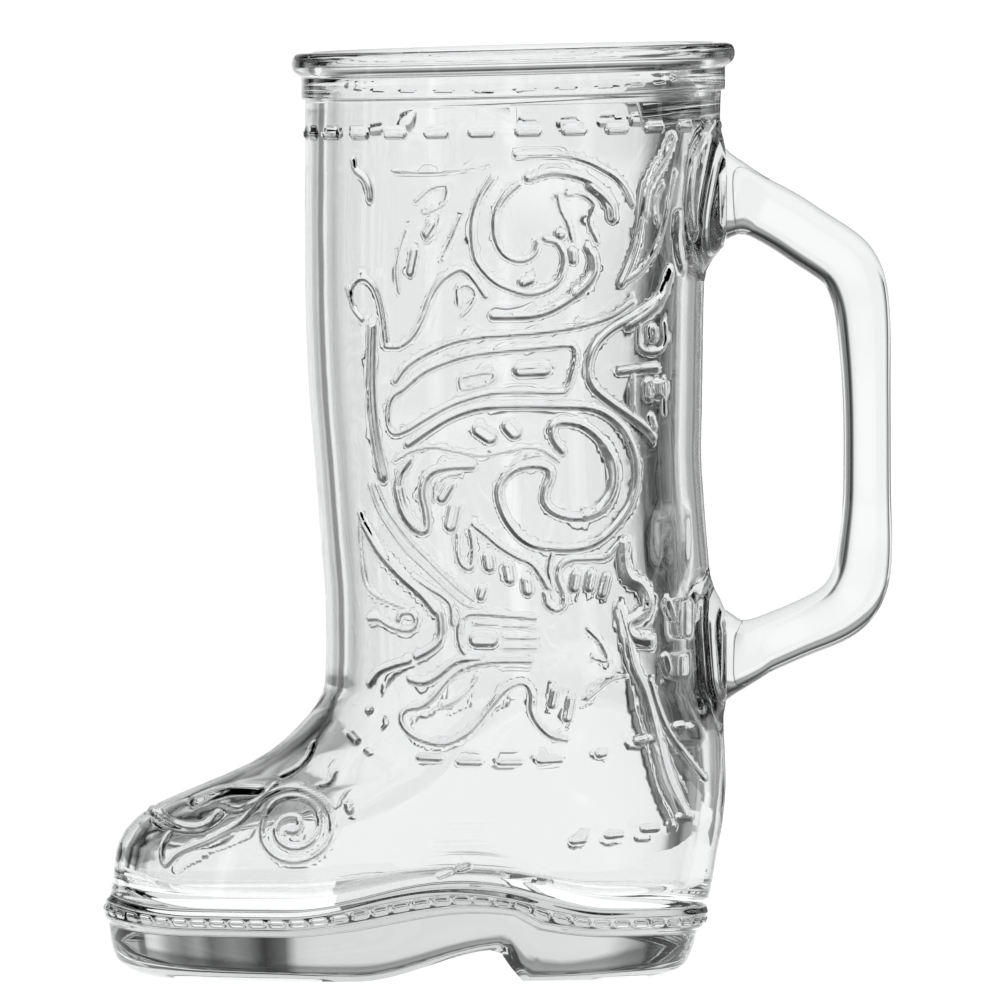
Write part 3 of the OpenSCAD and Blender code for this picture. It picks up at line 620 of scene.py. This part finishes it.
class BootSurface:
    """The whole skin of the boot as a function of the angle round it and a place along its section."""

    def __init__(self, ridge_height, ridge_edge):
        self.height = ridge_height
        self.edge = ridge_edge
        self.map = ornament_map(ridge_height, ridge_edge)
        top = (NECK_H - COLLAR_FILLET) / NECK_H
        self.zones = [
            lambda u, t: plain(u, 0 * t) * np.stack([0 * t + 1, t, 0 * t + 1], -1),
            lambda u, t: self.outside(u, t * top * NECK_H),
            self.mouth,
            lambda u, t: self.inside(u, mix(INSIDE_TOP_H, CAVITY_EDGE_H, t)),
            self.fillet,
            lambda u, t: self.fillet(u, 0 * t + 1) * np.stack([0 * t + 1, 1 - t, 0 * t + 1], -1),
        ]

    def relief(self, angle, h, p):
        """Height of everything that is raised on the outside, at a place on it."""
        bossed = np.maximum(boss(p[..., 1], h - UPPER_BOSS_H), boss(p[..., 1], h - LOWER_BOSS_H))
        behind = np.where(np.abs(180 - angle) < 90, bossed, 0)
        far = p[..., 1] > 0
        shaft = smooth((p[..., 2] - 46) / 12)
        seen = np.interp(p[..., 0], FAR_X, NEAR_X)
        x = np.where(far, mix(p[..., 0], seen, shaft), p[..., 0])
        z = p[..., 2] + np.where(far, 1, -1) * SIDE_DROP * (EYE_H - p[..., 2])
        from_toe = 180 - np.abs(180 - angle)
        seamward = np.where(far, smooth((28 - np.abs(x)) / 3), 1)
        scrolls = on_map(self.map, unrolled(x, z), z) * smooth((h - WELT_H - 0.5) / 1.5)
        scrolls = scrolls * mix(1, seamward, shaft)
        scrolls = scrolls * smooth((from_toe - 3) / 4) * smooth((174 - from_toe) / 6) * (1 - behind)
        sewn = stitches(angle, h, self.height * 0.8, self.edge)
        return scrolls + sewn * (1 - behind) + welt_strip(h, 1.4)

    def outside(self, angle, h):
        p = plain(angle, h)
        behind = np.where(np.abs(180 - angle) < 90, 1, 0)
        drawn = behind * np.maximum(boss(p[..., 1], h - UPPER_BOSS_H), boss(p[..., 1], h - LOWER_BOSS_H))
        q = p + self.relief(angle, h, p)[..., None] * outward(angle, h)
        q[..., 0] = mix(q[..., 0], SEAT_X, drawn)
        return q

    def mouth(self, angle, t):
        at = t * (len(RIM_PROFILE) - 1)
        places = np.arange(len(RIM_PROFILE))
        out = np.interp(at, places, RIM_PROFILE[:, 0])
        h = np.interp(at, places, RIM_PROFILE[:, 1])
        rad = np.radians(angle)
        x = mix(-NECK_FRONT - out, NECK_BACK + out, (1 - np.cos(rad)) / 2)
        y = ((NECK_FRONT + NECK_BACK) / 2 + out) * np.sin(rad)
        return np.stack([x, y, level(angle, h, x)], -1)

    def inside(self, angle, h):
        return plain(angle, h) - WALL * outward(angle, h)

    def fillet(self, angle, t):
        edge_h = np.full_like(angle, CAVITY_EDGE_H)
        n = outward(angle, edge_h)
        flat = n * [1, 1, 0]
        flat /= np.linalg.norm(flat, axis=-1, keepdims=True)
        turn = np.radians(90 * t)[..., None]
        return (plain(angle, edge_h) - WALL * n
                - FLOOR_FILLET * ((1 - np.cos(turn)) * flat + np.sin(turn) * np.array([0, 0, 1])))

    def __call__(self, u, v):
        """u is the angle in degrees from the toe, v the zone's number plus the place in it."""
        u, v = np.broadcast_arrays(np.asarray(u, float), np.asarray(v, float))
        p = np.empty(u.shape + (3,))
        zone = np.clip(v.astype(int), 0, len(self.zones) - 1)
        for k, place in enumerate(self.zones):
            here = zone == k
            if here.any():
                p[here] = place(u[here], v[here] - k)
        return p

    def is_rough(self, u, v, reach):
        """Whether the ornament bends within a reach in millimetres of a place, so that the mesh needs
        smaller faces there: its second difference over half the reach, as a curvature."""
        h = (v - 1) * NECK_H
        du = np.degrees(reach / SHAFT_R)
        rows = [[self.relief(u + a * du, h + b * reach, plain(u + a * du, np.clip(h + b * reach, 0, NECK_H)))
                 for a in (-1, -0.5, 0, 0.5, 1)] for b in (-1, -0.5, 0, 0.5, 1)]
        rows = np.array(rows)
        bend = np.maximum(np.abs(np.diff(rows, 2, axis=0)).max((0, 1)), np.abs(np.diff(rows, 2, axis=1)).max((0, 1)))
        return (v > 1.03) & (v < 2) & (bend > min(ROUGH_BEND * (reach / 2) ** 2, ROUGH_STEP_MM))

    def is_rough_far(self, u, v, reach):
        return (u < 180) & self.is_rough(u, v, reach)

    def is_rough_near(self, u, v, reach):
        return (u > 180) & self.is_rough(u, v, reach)


def cut_finer(mesh, is_rough, reach, cuts):
    """Cut the faces of a flat mesh in u and v where is_rough(u, v, reach) says so."""
    centre = np.empty(len(mesh.polygons) * 3, np.float32)
    mesh.polygons.foreach_get("center", centre)
    centre = centre.reshape(-1, 3).astype(float)
    rough = np.nonzero(is_rough(centre[:, 0], centre[:, 1], reach))[0]
    work = bmesh.new()
    work.from_mesh(mesh)
    work.faces.ensure_lookup_table()
    edges = {e for k in rough for e in work.faces[k].edges if len(work.faces[k].edges) == 4}
    bmesh.ops.subdivide_edges(work, edges=list(edges), cuts=cuts, use_grid_fill=True)
    work.to_mesh(mesh)
    work.free()


def skin_mesh(name, place, u_lines, v_lines, levels=()):
    """A closed mesh of place(u, v), from a grid of lines of u and v that is cut finer by the levels.
    Every vertex gets its exact place and normal from the formula."""
    nu, nv = len(u_lines), len(v_lines)
    uu, vv = np.meshgrid(u_lines, v_lines, indexing="ij")
    i, j = np.meshgrid(np.arange(nu - 1), np.arange(nv - 1), indexing="ij")
    a = (i * nv + j).ravel()
    faces = np.stack([a, a + 1, a + nv + 1, a + nv], -1)
    mesh = bpy.data.meshes.new(name)
    mesh.from_pydata(np.stack([uu.ravel(), vv.ravel(), 0 * uu.ravel()], -1), [], faces.tolist())
    for level in levels:
        cut_finer(mesh, *level)
    flat = np.empty(len(mesh.vertices) * 3, np.float32)
    mesh.vertices.foreach_get("co", flat)
    flat = flat.reshape(-1, 3).astype(float)
    mesh.vertices.foreach_set("co", (place(flat[:, 0], flat[:, 1]) * MM).ravel())
    for column, label in enumerate(("u", "v")):
        mesh.attributes.new(label, "FLOAT", "POINT").data.foreach_set("value", flat[:, column].astype(np.float32))

    def read(label):
        values = np.empty(len(mesh.vertices), np.float32)
        mesh.attributes[label].data.foreach_get("value", values)
        return values.astype(float)

    work = bmesh.new()
    work.from_mesh(mesh)
    bmesh.ops.triangulate(work, faces=work.faces)
    bmesh.ops.remove_doubles(work, verts=work.verts, dist=2e-6)
    bmesh.ops.dissolve_degenerate(work, edges=work.edges, dist=1e-6)
    bmesh.ops.triangulate(work, faces=work.faces)
    bmesh.ops.recalc_face_normals(work, faces=work.faces)
    work.to_mesh(mesh)
    work.free()
    mesh.shade_smooth()
    u, v = read("u"), read("v")
    du, dv = (u_lines[-1] - u_lines[0]) * 2e-4, 8e-4
    side = place(u + du, v) - place(u - du, v)
    up = place(u, np.minimum(v + dv, v_lines[-1])) - place(u, np.maximum(v - dv, v_lines[0]))
    n = np.cross(side, up)
    size = np.linalg.norm(n, axis=1)
    own = np.empty(len(mesh.vertices) * 3, np.float32)
    mesh.vertices.foreach_get("normal", own)
    own = own.reshape(-1, 3).astype(float)
    n = n / np.maximum(size, 1e-12)[:, None]
    turn = np.sign(np.sum(n * own, 1))[:, None]
    sure = (size > 1e-9)[:, None] & (np.abs(np.sum(n * own, 1)) > 0.7)[:, None]
    mesh.normals_split_custom_set_from_vertices(np.where(sure, n * turn, own))
    return mesh


# The handle

class HandleSurface:
    """The handle's skin: an oval section carried along its middle line, closed by flat ends on the seats."""

    def __init__(self, gap):
        last = len(HANDLE_SHARES) - 1
        shares = np.asarray(HANDLE_SHARES)
        keys = np.arange(last + 1.0)
        low = level(np.array(180.0), np.array(LOWER_BOSS_H), SEAT_X)
        high = level(np.array(180.0), np.array(UPPER_BOSS_H), SEAT_X)
        at = np.linspace(0, last, 481)
        reach = curve(np.stack([keys, SEAT_X + gap + HANDLE_SPAN * shares[:, 0]], -1), at)
        rise = curve(np.stack([keys, mix(low, high, shares[:, 1])], -1), at)
        thick = curve(np.stack([keys, mix(GRIP_T, LIMB_T, shares[:, 2])], -1), at)
        soft = [blurred(values, 5.0, [0]) for values in (reach, rise, thick)]
        ends = smooth(np.minimum(at, last - at) / 1.5)
        self.reach, self.rise, self.thick = (mix(v, s, ends) for v, s in zip((reach, rise, thick), soft))
        self.at, self.last, self.gap = at, last, gap

    def __call__(self, u, v):
        """u is the turn round the section in degrees. v runs from -1 to 0 over the upper end, then
        along the middle line from key to key, then from last to last + 1 over the lower end."""
        u, v = np.broadcast_arrays(np.asarray(u, float), np.asarray(v, float))
        t = np.clip(v, 0, self.last)
        grow = np.clip(np.minimum(v + 1, self.last + 1 - v), 0, 1)
        x, z, thick = (np.interp(t, self.at, k) for k in (self.reach, self.rise, self.thick))
        end = np.clip(1 - (x - SEAT_X - self.gap) / HANDLE_SPAN / FLARE_SHARE, 0, 1)
        t0, t1 = np.clip(t - 0.15, 0, self.last), np.clip(t + 0.15, 0, self.last)
        dx = np.interp(t1, self.at, self.reach) - np.interp(t0, self.at, self.reach)
        dz = np.interp(t1, self.at, self.rise) - np.interp(t0, self.at, self.rise)
        size = np.hypot(dx, dz)
        square_on = np.where(t < self.last / 2, 1.0, -1.0)
        hx = mix(dx / size, square_on, smooth(end))
        hz = mix(dz / size, 0 * t, smooth(end))
        size = np.hypot(hx, hz)
        side_x, side_z = -hz / size, hx / size
        half_t = mix(thick, ROOT_T, end ** 2) / 2 * grow
        half_w = mix(GRIP_W + (thick - GRIP_T) / 2, ROOT_W, end ** 2) / 2 * grow
        rad = np.radians(u)
        c = np.sign(np.cos(rad)) * np.abs(np.cos(rad)) ** HANDLE_ROUND * half_t
        s = np.sign(np.sin(rad)) * np.abs(np.sin(rad)) ** HANDLE_ROUND * half_w
        return np.stack([x + side_x * c, s, z + side_z * c], -1)


# Materials

def linear(hex_colour):
    """A hex sRGB colour as linear red, green, blue and 1."""
    parts = [int(hex_colour[k:k + 2], 16) / 255 for k in (1, 3, 5)]
    return [p / 12.92 if p <= 0.04045 else ((p + 0.055) / 1.055) ** 2.4 for p in parts] + [1.0]


def add_node(tree, kind, settings=(), values=(), links=()):
    """A new node of the kind, with attributes from settings, socket values from values, and links from
    (other node, its output) to this node's input."""
    node = tree.nodes.new(kind)
    for key, value in dict(settings).items():
        setattr(node, key, value)
    for key, value in dict(values).items():
        node.inputs[key].default_value = value
    for key, (other, output) in dict(links).items():
        tree.links.new(other.outputs[output], node.inputs[key])
    return node


def new_material(name):
    material = bpy.data.materials.new(name)
    material.use_nodes = True
    material.node_tree.nodes.clear()
    return material


def pressed_glass(finish, name, ripple_mm, ripple_depth_mm):
    """Clear soda-lime glass, pressed in an iron mould and fire-polished: a mirror-smooth skin whose slow
    ripples, left by the chill of the mould, bend what shows through it. Thick glass greys a little."""
    material = new_material(name)
    tree = material.node_tree
    place = add_node(tree, "ShaderNodeTexCoord")
    ripple = add_node(tree, "ShaderNodeTexNoise", values={"Scale": 1 / (ripple_mm * MM), "Detail": 1.5},
                      links={"Vector": (place, "Object")})
    bump = add_node(tree, "ShaderNodeBump", values={"Strength": 1.0, "Distance": ripple_depth_mm * MM},
                    links={"Height": (ripple, "Fac")})
    shader = add_node(tree, "ShaderNodeBsdfPrincipled",
                      values={"Base Color": linear(finish.glass_hex), "Roughness": finish.glass_roughness,
                              "IOR": finish.glass_ior, "Transmission Weight": 1.0},
                      links={"Normal": (bump, "Normal")})
    depth = add_node(tree, "ShaderNodeVolumeAbsorption",
                     values={"Color": linear(finish.depth_hex), "Density": finish.depth_density})
    add_node(tree, "ShaderNodeOutputMaterial",
             links={"Surface": (shader, "BSDF"), "Volume": (depth, "Volume")})
    return material


def table_material(finish):
    """An opal acrylic light table: even pale light with a trace of shading where the glass stands."""
    material = new_material("opal acrylic light table")
    tree = material.node_tree
    place = add_node(tree, "ShaderNodeTexCoord")
    cloud = add_node(tree, "ShaderNodeTexNoise", values={"Scale": 6.0, "Detail": 2.0},
                     links={"Vector": (place, "Object")})
    tone = add_node(tree, "ShaderNodeMapRange", values={"To Min": 0.97, "To Max": 1.0},
                    links={"Value": (cloud, "Fac")})
    tint = add_node(tree, "ShaderNodeMix", settings={"data_type": "RGBA", "blend_type": "MULTIPLY"},
                    values={"Factor": 1.0}, links={"B": (tone, "Result")})
    tint.inputs["A"].default_value = linear(finish.table_hex)
    shader = add_node(tree, "ShaderNodeBsdfPrincipled",
                      values={"Roughness": 0.6, "Specular IOR Level": 0.1,
                              "Emission Color": (1, 1, 1, 1),
                              "Emission Strength": finish.table_light},
                      links={"Base Color": (tint, "Result")})
    add_node(tree, "ShaderNodeOutputMaterial", links={"Surface": (shader, "BSDF")})
    return material


# Brightness round the studio, by the angle from the middle of each of four wide white screens. A narrow
# screen stands between each two of them, and black cloths hang between, nearer on one side than the other
# The studio's tones, from 0 for black cloth to 1 for a white screen: round the glass by degrees from
# the middle of each of the four screens, by height as the sine of the elevation, and by depth as the
# cosine from straight behind the glass. In front it is kept dim, so that no reflection veils the dark
# lines, but for a white strip in each direction from which the glass is looked at.
SCREENS = 4
SCREEN_TONES = [
    (-45, 1.0), (-43, 1.0), (-40, 0.9), (-34, 0.4), (-29, 0.25), (-25, 0.4), (-22, 0.15), (-18, 0.3),
    (-15, 0.2), (-12, 0.01), (-8, 0.15), (-5.5, 0.88), (-3.5, 0.96), (-1.5, 1.0), (17, 1.0), (25, 0.55),
    (30, 0.4), (33, 0.01), (38.5, 0.2), (41, 1.0), (45, 1.0)]
HEIGHT_TONES = [
    (0.0, 1.0), (0.03, 1.0), (0.07, 0.95), (0.10, 0.35), (0.16, 0.45), (0.25, 0.1), (0.34, 0.02),
    (0.42, 0.8), (0.57, 0.2), (0.87, 1.0)]
FLOOR_SHARES = [(-0.17, 1.0), (-0.12, 0.0)]
DEPTH_TONES = [
    (-1.0, 1.0), (-0.997, 1.0), (-0.993, 0.03), (-0.735, 0.03), (-0.728, 1.0), (-0.686, 1.0), (-0.679, 0.03),
    (-0.035, 0.03), (-0.028, 1.0), (0.028, 1.0), (0.035, 0.05), (0.40, 0.05), (0.56, 0.35), (0.69, 1.0),
    (1.0, 1.0)]


def add_ramp(tree, fac, stops):
    """A colour ramp of greys with a stop for each place and tone."""
    ramp = add_node(tree, "ShaderNodeValToRGB", links={"Fac": fac})
    elements = ramp.color_ramp.elements
    for k, (at, tone) in enumerate(stops):
        e = elements[k] if k < 2 else elements.new(at)
        e.position = at
        e.color = (tone, tone, tone, 1)
    return ramp


def studio_world(finish):
    """White screens round the glass with black cloths between and above them: the screens show
    through the glass as its bright ground, and its steep edges bend the cloths into dark lines."""
    world = bpy.data.worlds.new("white screens and black cloths")
    world.use_nodes = True
    tree = world.node_tree
    tree.nodes.clear()
    place = add_node(tree, "ShaderNodeTexCoord")
    split = add_node(tree, "ShaderNodeSeparateXYZ", links={"Vector": (place, "Generated")})
    azimuth = add_node(tree, "ShaderNodeMath", settings={"operation": "ARCTAN2"},
                       links={0: (split, "Y"), 1: (split, "X")})
    turns = add_node(tree, "ShaderNodeMath", settings={"operation": "MULTIPLY_ADD"},
                     values={1: SCREENS / (2 * math.pi), 2: SCREENS + 0.5}, links={0: (azimuth, 0)})
    share = add_node(tree, "ShaderNodeMath", settings={"operation": "FRACT"}, links={0: (turns, 0)})
    sector = 360 / SCREENS
    round_tone = add_ramp(tree, (share, 0), [(at / sector + 0.5, tone) for at, tone in SCREEN_TONES])
    high_tone = add_ramp(tree, (split, "Z"), HEIGHT_TONES)
    depth = add_node(tree, "ShaderNodeMath", settings={"operation": "MULTIPLY_ADD"},
                     values={1: 0.5, 2: 0.5}, links={0: (split, "Y")})
    depth_tone = add_ramp(tree, (depth, 0), [(0.5 + at / 2, tone) for at, tone in DEPTH_TONES])
    low = add_node(tree, "ShaderNodeMath", settings={"operation": "MULTIPLY_ADD"},
                   values={1: 0.5, 2: 0.5}, links={0: (split, "Z")})
    floor_share = add_ramp(tree, (low, 0), [(0.5 + at / 2, tone) for at, tone in FLOOR_SHARES])
    both = add_node(tree, "ShaderNodeMix", settings={"data_type": "RGBA", "blend_type": "MULTIPLY"},
                    values={"Factor": 1.0}, links={"A": (round_tone, "Color"), "B": (high_tone, "Color")})
    tone = add_node(tree, "ShaderNodeMix", settings={"data_type": "RGBA", "blend_type": "MULTIPLY"},
                    values={"Factor": 1.0}, links={"A": (both, "Result"), "B": (depth_tone, "Color")})
    floor = add_node(tree, "ShaderNodeMix", settings={"data_type": "RGBA"}, values={"B": (1, 1, 1, 1)},
                     links={"Factor": (floor_share, "Color"), "A": (tone, "Result")})
    sky = add_node(tree, "ShaderNodeBackground", values={"Strength": finish.studio_light},
                   links={"Color": (floor, "Result")})
    add_node(tree, "ShaderNodeOutputWorld", links={"Surface": (sky, "Background")})
    return world


# What a user would change

class BootGlassShape(bpy.types.PropertyGroup):
    """Sizes of what stands out of the glass, and how fine its mesh is."""
    ridge_height: FloatProperty(name="Ridge height", description="How far the scrolls stand out, in mm",
                                default=0.53, min=0.1, max=1.0)
    ridge_edge: FloatProperty(name="Ridge edge", description="Width of a ridge's sloping side, in mm",
                              default=0.5, min=0.3, max=1.5)
    columns: IntProperty(name="Columns", description="Columns of faces round the boot",
                         default=116, min=60, max=300)
    cuts: IntProperty(name="Cuts", description="How finely the faces on the ornament are cut",
                      default=2, min=1, max=4)
    handle_gap: FloatProperty(name="Handle gap", description="Gap between the handle and its bosses, in mm",
                              default=0.03, min=0.0, max=0.2)


class BootGlassFinish(bpy.types.PropertyGroup):
    """Colours and light."""
    glass_hex: StringProperty(name="Glass", description="Tint of the glass's skin", default="#FAFBFB")
    glass_ior: FloatProperty(name="IOR", description="Refraction of soda-lime glass",
                             default=1.52, min=1.3, max=1.7)
    glass_roughness: FloatProperty(name="Roughness", description="Roughness of the fire-polished skin",
                                   default=0.0, min=0.0, max=0.2)
    depth_hex: StringProperty(name="Depth", description="Tint of thick glass", default="#C8CACA")
    depth_density: FloatProperty(name="Depth density", description="How soon thick glass greys, per metre",
                                 default=16.0, min=0.0, max=90.0)
    table_hex: StringProperty(name="Table", description="Colour of the light table", default="#A0A0A0")
    table_light: FloatProperty(name="Table light", description="Light that the table gives off",
                               default=0.96, min=0.0, max=2.0)
    studio_light: FloatProperty(name="Studio light", description="Brightness of the white studio",
                                default=1.08, min=0.1, max=3.0)


def show(name, mesh, material):
    """A finished object for the mesh."""
    for label in ("u", "v"):
        if label in mesh.attributes:
            mesh.attributes.remove(mesh.attributes[label])
    mesh.materials.append(material)
    obj = bpy.data.objects.new(name, mesh)
    bpy.context.scene.collection.objects.link(obj)
    return obj


class BOOTGLASS_OT_boot(bpy.types.Operator):
    """Build the pressed glass boot with its scrolls, stitches and welt"""
    bl_idname = "bootglass.boot"
    bl_label = "Boot"

    def execute(self, context):
        shape, finish = context.scene.boot_glass_shape, context.scene.boot_glass_finish
        skin = BootSurface(shape.ridge_height, shape.ridge_edge)
        top = 2.0
        welt = 1 + np.array([WELT_H - WELT_STRIP_H - 1, WELT_H + 1]) / NECK_H
        v_lines = np.unique(np.concatenate([
            np.linspace(0, 1, 6),
            1 + np.linspace(0, 1, 9) ** 2 * (welt[0] - 1),
            np.linspace(*welt, 7),
            np.linspace(welt[1], top, 70),
            np.linspace(2, 3, 34),
            np.linspace(3, 4, 30),
            np.linspace(4, 5, 7),
            np.linspace(5, 6, 5),
        ]))
        far = np.linspace(0, 180, int(shape.columns * 0.42) + 1)
        near = np.linspace(180, 360, int(shape.columns * 0.58) + 1)
        u_lines = np.concatenate([far, near[1:]])
        levels = [(skin.is_rough, 1.0, 1), (skin.is_rough_near, 0.5, shape.cuts),
                  (skin.is_rough_far, 0.5, max(1, shape.cuts - 1))]
        mesh = skin_mesh("boot_glass", skin, u_lines, v_lines, levels)
        move_to_axis(mesh)
        boot = show("boot_glass", mesh, pressed_glass(finish, "pressed soda-lime glass, boot", 9.0, 0.02))
        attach(boot, "root")
        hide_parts("boot_body")
        print("boot_glass triangles", len(mesh.polygons))
        return {"FINISHED"}


class BOOTGLASS_OT_handle(bpy.types.Operator):
    """Build the handle, an oval bar of fire-polished glass on its two bosses"""
    bl_idname = "bootglass.handle"
    bl_label = "Handle"

    def execute(self, context):
        shape, finish = context.scene.boot_glass_shape, context.scene.boot_glass_finish
        skin = HandleSurface(shape.handle_gap)
        v_lines = np.unique(np.concatenate([
            [-1, -0.75, -0.5, -0.25, -0.03], np.linspace(0, skin.last, 221), skin.last + np.array([0.03, 0.25, 0.5, 0.75, 1])]))
        mesh = skin_mesh("handle_glass", skin, np.linspace(0, 360, 97), v_lines)
        move_to_axis(mesh)
        handle = show("handle_glass", mesh, pressed_glass(finish, "pressed soda-lime glass, handle", 14.0, 0.015))
        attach(handle, "root")
        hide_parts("handle")
        print("handle_glass triangles", len(mesh.polygons))
        return {"FINISHED"}


def move_to_axis(mesh):
    """Move a mesh made about the shaft's axis to its place in the frame."""
    co = np.empty(len(mesh.vertices) * 3, np.float32)
    mesh.vertices.foreach_get("co", co)
    co = co.reshape(-1, 3)
    co[:, 0] += AXIS_X * MM
    mesh.vertices.foreach_set("co", co.ravel())
    mesh.update()


# The camera stands well back with a long lens, a little above the rim
CAMERA_DISTANCE = 4.5
CAMERA_HEIGHT = 0.222
FRAME_WIDTH = 1000 * PX_MM * MM
SENSOR_MM = 36.0
AIM_PX = (500, 500)
TABLE_RADIUS = 0.35


class BOOTGLASS_OT_studio(bpy.types.Operator):
    """Build the light table, the bright studio round it and the camera"""
    bl_idname = "bootglass.studio"
    bl_label = "Studio"

    def execute(self, context):
        finish = context.scene.boot_glass_finish
        ring = np.linspace(0, 2 * math.pi, 97)[:-1]
        radii = np.linspace(0, TABLE_RADIUS, 12)[1:]
        points = [(0, 0, 0)] + [(r * math.cos(a), r * math.sin(a), 0) for r in radii for a in ring]
        n = len(ring)
        faces = [(0, 1 + k, 1 + (k + 1) % n) for k in range(n)]
        faces += [(1 + m * n + k, 1 + (m + 1) * n + k, 1 + (m + 1) * n + (k + 1) % n, 1 + m * n + (k + 1) % n)
                  for m in range(len(radii) - 1) for k in range(n)]
        mesh = bpy.data.meshes.new("table")
        mesh.from_pydata(points, [], faces)
        table = show("light_table", mesh, table_material(finish))
        scene = context.scene
        scene.world = studio_world(finish)
        data = bpy.data.cameras.new("long lens")
        data.sensor_width = SENSOR_MM
        data.lens = SENSOR_MM * MM * CAMERA_DISTANCE / FRAME_WIDTH / MM
        data.clip_end = 50
        camera = bpy.data.objects.new("camera", data)
        scene.collection.objects.link(camera)
        aim = Vector(((AIM_PX[0] - AXIS_PX) * PX_MM * MM + AXIS_X * MM, 0, (TABLE_PX - AIM_PX[1]) * PX_MM * MM))
        camera.location = (aim.x, -CAMERA_DISTANCE, CAMERA_HEIGHT)
        camera.rotation_euler = (aim - camera.location).to_track_quat("-Z", "Y").to_euler()
        scene.camera = camera
        scene.view_settings.view_transform = "Standard"
        scene.cycles.max_bounces = 24
        scene.cycles.transmission_bounces = 24
        scene.cycles.glossy_bounces = 8
        scene.cycles.diffuse_bounces = 2
        return {"FINISHED"}


class BOOTGLASS_PT_panel(bpy.types.Panel):
    """The sidebar's list of sizes, finishes and pieces"""
    bl_idname = "BOOTGLASS_PT_panel"
    bl_label = "Boot Glass"
    bl_space_type = "VIEW_3D"
    bl_region_type = "UI"
    bl_category = "Boot Glass"

    def draw(self, context):
        for group in (context.scene.boot_glass_shape, context.scene.boot_glass_finish):
            box = self.layout.box()
            for key in group.__annotations__:
                box.prop(group, key)
        for operator in (BOOTGLASS_OT_studio, BOOTGLASS_OT_boot, BOOTGLASS_OT_handle):
            self.layout.operator(operator.bl_idname)


CLASSES = (BootGlassShape, BootGlassFinish, BOOTGLASS_OT_studio, BOOTGLASS_OT_boot,
           BOOTGLASS_OT_handle, BOOTGLASS_PT_panel)


def register():
    for cls in CLASSES:
        bpy.utils.register_class(cls)
    bpy.types.Scene.boot_glass_shape = PointerProperty(type=BootGlassShape)
    bpy.types.Scene.boot_glass_finish = PointerProperty(type=BootGlassFinish)


def unregister():
    del bpy.types.Scene.boot_glass_finish
    del bpy.types.Scene.boot_glass_shape
    for cls in reversed(CLASSES):
        bpy.utils.unregister_class(cls)


def main():
    register()
    bpy.ops.bootglass.studio()
    bpy.ops.bootglass.boot()
    bpy.ops.bootglass.handle()


if __name__ == "__main__":
    main()
